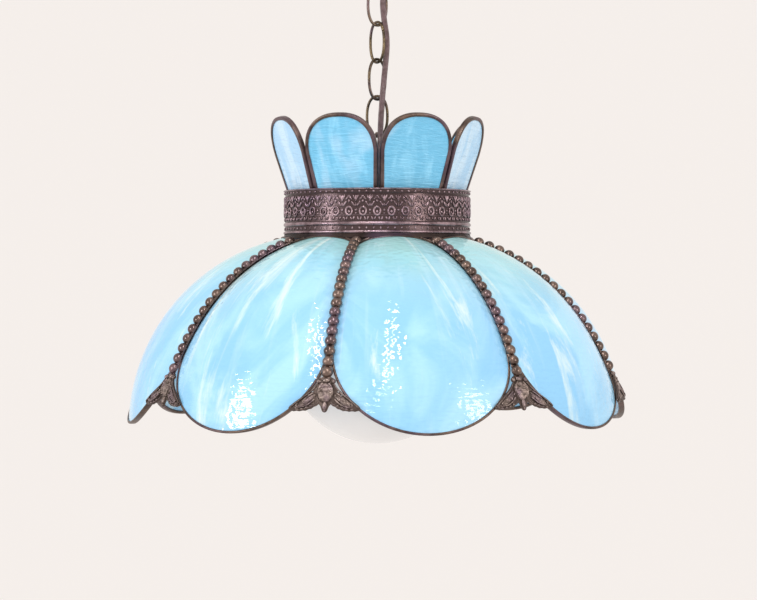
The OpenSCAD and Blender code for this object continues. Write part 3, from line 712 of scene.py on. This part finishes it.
def flatCurve(name, loops, thick, edge, closed):
    curve = bpy.data.curves.new(name, "CURVE")
    curve.dimensions = "2D" if closed else "3D"
    if closed:
        curve.fill_mode = "BOTH"
        curve.extrude = thick * mm
    curve.bevel_depth = edge * mm
    curve.bevel_resolution = 1 if closed else 2
    for points in loops:
        spline = curve.splines.new("NURBS" if not closed else "POLY")
        spline.points.add(len(points) - 1)
        for point, place in zip(spline.points, points):
            point.co = (*place, 1)
        spline.use_cyclic_u = closed
        if not closed:
            spline.use_endpoint_u = True
            spline.order_u = 4
            spline.resolution_u = 3
    shape = bpy.data.objects.new(name, curve)
    bpy.context.scene.collection.objects.link(shape)
    pick(shape)
    bpy.ops.object.convert(target="MESH")
    return bpy.context.object


def dome(x, y, high, wide, long, tall, turn):
    made = fresh(bpy.ops.mesh.primitive_uv_sphere_add, segments=14, ring_count=8, radius=mm)
    made.scale = (wide, long, tall)
    made.rotation_euler = (0, 0, radians(turn))
    made.location = (x * mm, -y * mm, high * mm)
    return made


charmEdge = [(x * mm, -y * mm, 0) for x, y in charm["half"]]
charmEdge += [(-x, y, 0) for x, y, z in reversed(charmEdge[1:-1])]
loops = [charmEdge]
for x, y, wide, long, turn in charm["holes"]:
    for side in (1, -1):
        lay = Matrix.Rotation(radians(-turn * side), 3, "Z")
        hole = []
        for k in range(charm["holeSteps"]):
            a = 2 * pi * k / charm["holeSteps"]
            hole.append((Vector((side * x, -y, 0)) + lay @ Vector((wide * cos(a), long * sin(a), 0))) * mm)
        loops.append(hole)
back = flatCurve("charmBack", loops, charm["plate"] / 2 - charm["edge"], charm["edge"], True)
back.location.z = charm["plate"] / 2 * mm
parts = [back]
for spec in charm["domes"]:
    parts.append(dome(*spec))
for x, y, high, wide, long, tall, turn in charm["sides"]:
    parts.append(dome(x, y, high, wide, long, tall, -turn))
    parts.append(dome(-x, y, high, wide, long, tall, turn))
for thick, high, points in charm["scrolls"]:
    for side in (1, -1):
        line = [(side * x * mm, -y * mm, high * mm) for x, y in points]
        parts.append(flatCurve("scroll", [line], 0, thick, False))
ornament = joined(parts, "ornamentMould")
editAll(ornament)  # cuts across, so that it can bend over the corner
for k in range(-charm["cuts"][0], charm["cuts"][0] + 1):
    bpy.ops.mesh.select_all(action="SELECT")
    bpy.ops.mesh.bisect(plane_co=(k * charm["cut"][0] * mm, 0, 0), plane_no=(1, 0, 0))
for k in range(charm["cuts"][1] + 1):
    bpy.ops.mesh.select_all(action="SELECT")
    bpy.ops.mesh.bisect(plane_co=(0, -k * charm["cut"][1] * mm, 0), plane_no=(0, 1, 0))
bpy.ops.object.mode_set(mode="OBJECT")
rise = ornament.data.attributes.new("rise", "FLOAT", "POINT")
for v in ornament.data.vertices:
    x, y, high = v.co / mm
    rise.data[v.index].value = high
    v.co = onCorner(x, charm["top"] - y / petalLength, charm["lift"] + high)
faceOut(ornament)
ornaments = stepRound(smooth(ornament, 45), shade["ribTurn"], "ornaments")
dress(ornaments, charmBronze, replaces=["corner_ornaments"])
print("ornaments ready")

# crown: flat panels in their own cames
crown = {"turn": 1, "foot": 75.8, "high": 73.5, "lean": 17, "sink": 4.2, "clear": 1.0, "shoulder": 0.52,
         "margin": 1.2, "square": 2.35, "archSteps": 36, "bandHigh": 41,
         "section": [(-3.2, 1.5), (-3.3, 2.0), (-2.8, 2.3), (-0.7, 2.3), (-0.1, 1.8), (0, 1.2), (0, -1.2),
                     (-0.1, -1.8), (-0.7, -2.3), (-2.8, -2.3), (-3.3, -2.0), (-3.2, -1.5), (-2.75, -1.5),
                     (-2.75, 1.5)]}
crownLean = radians(crown["lean"])
crownFoot = band["foot"] + crown["bandHigh"] - crown["sink"] + crown["clear"]


# x across a panel and s up it
def onPanel(x, s):
    return Vector((x, -crown["foot"] - s * sin(crownLean), crownFoot + s * cos(crownLean))) * mm


def panelHalf(s):
    return (crown["foot"] + s * sin(crownLean)) * tan(radians(stepTurn / 2)) - crown["margin"]


shoulder = crown["high"] * crown["shoulder"]
panelEdge = [(-panelHalf(0), 0), (panelHalf(0), 0)]
for k in range(crown["archSteps"] + 1):
    a = pi * k / crown["archSteps"]
    across = panelHalf(shoulder) * squarer(cos(a), crown["square"])
    panelEdge.append((across, shoulder + (crown["high"] - shoulder) * squarer(abs(sin(a)), crown["square"])))
outward = Vector((0, -cos(crownLean), -sin(crownLean)))
stations = []
for k, (x, s) in enumerate(panelEdge):
    here = onPanel(x, s)
    before = (here - onPanel(*panelEdge[k - 1])).normalized()
    after = (onPanel(*panelEdge[(k + 1) % len(panelEdge)]) - here).normalized()
    along = (before + after).normalized()
    out = along.cross(outward).normalized() / max(0.5, along.dot(after))
    stations.append((here, out, outward))
panelCame = sweep("panelCame", stations, crown["section"], closed=True)
crownCames = stepRound(panelCame, crown["turn"] + stepTurn / 2, "crownCames")
dress(crownCames, rimBronze, replaces=["crown_rims"])
print("crown ready")

# finishes of the pieces that keep their CAD shape
# painted light: the opal globe glows faintly white, standing in for light scattered through the milk glass
milk = Finish("milkGlass", Roughness=0.22, Specular_IOR_Level=0.4, Emission_Color=paint(246, 247, 248),
              Emission_Strength=0.04)
place = milk.place()
cloud = milk.ramp(milk.noise(place, 9, 3), 0.3, 0.7)
milk.set(Base_Color=milk.mix(cloud, paint(222, 222, 222), paint(232, 232, 232)))
milk.bump(milk.noise(place, 30, 2), 0.0006, 0.2)


def workshop(name, deep, bright, rough, grain, metal=0.0, tint=None, dent=0.0002, **constants):
    made = Finish(name, Metallic=metal, **constants)
    place = made.place(stretch=grain)
    spots = made.ramp(made.noise(place, 1.0, 4, 0.6, 0.4), 0.32, 0.7)
    colour = made.mix(spots, deep, bright)
    if tint:
        bloom = made.ramp(made.noise(made.place(), 45, 2), 0.42, 0.6)
        colour = made.mix(bloom * 0.6, colour, tint)
    made.set(Base_Color=colour, Roughness=spots * 0.12 + rough)
    made.bump(made.noise(place, 3.0, 3), dent, 0.6)
    return made.material


frosted = workshop("frostedGlass", paint(214, 216, 216), paint(230, 232, 232), 0.5, (900, 900, 900),
                   dent=0.00012, Specular_IOR_Level=0.35)
nickel = workshop("nickelPlate", paint(150, 148, 144), paint(192, 190, 186), 0.2, (60, 60, 900), 1.0)
zincYellow = workshop("zincYellow", paint(170, 150, 92), paint(204, 186, 128), 0.3, (30, 700, 700), 0.9,
                      tint=paint(168, 176, 130))
phenolic = workshop("blackPhenolic", paint(20, 18, 17), paint(36, 33, 31), 0.3, (420, 420, 420))
fibre = workshop("fibrePaper", paint(132, 112, 80), paint(166, 146, 108), 0.8, (150, 150, 1100), dent=0.0005)

carried = [(canopyBronze, ["canopy", "collar_ring", "canopy_loop", "lamp_loop", "check_washer", "spider"]),
           (shadedRingBronze, ["gallery_ring", "shoulder_ring"]),
           (chainBrass, ["canopy_locknut", "canopy_nipple"]),
           (stemBrass, ["lamp_nipple", "lamp_locknuts", "spider_screws", "spacer_tube", "globe_holder",
                        "socket_cap", "socket_shell", "thumbscrew_1", "thumbscrew_2", "thumbscrew_3"]),
           (milk.material, ["opal_globe"]), (frosted, ["bulb_glass"]), (nickel, ["bulb_base"]),
           (zincYellow, ["crossbar"]), (phenolic, ["socket_body"]), (fibre, ["insulator_sleeve"]),
           (crownGlass, ["crown_glass_%d" % k for k in (1, 3, 5, 6, 8)]),
           (paleLitGlass, ["crown_glass_%d" % k for k in (2, 4, 7)])]
for finish, nodes in carried:
    for node in nodes:
        coat(node, finish)
print("carried-over pieces coated")
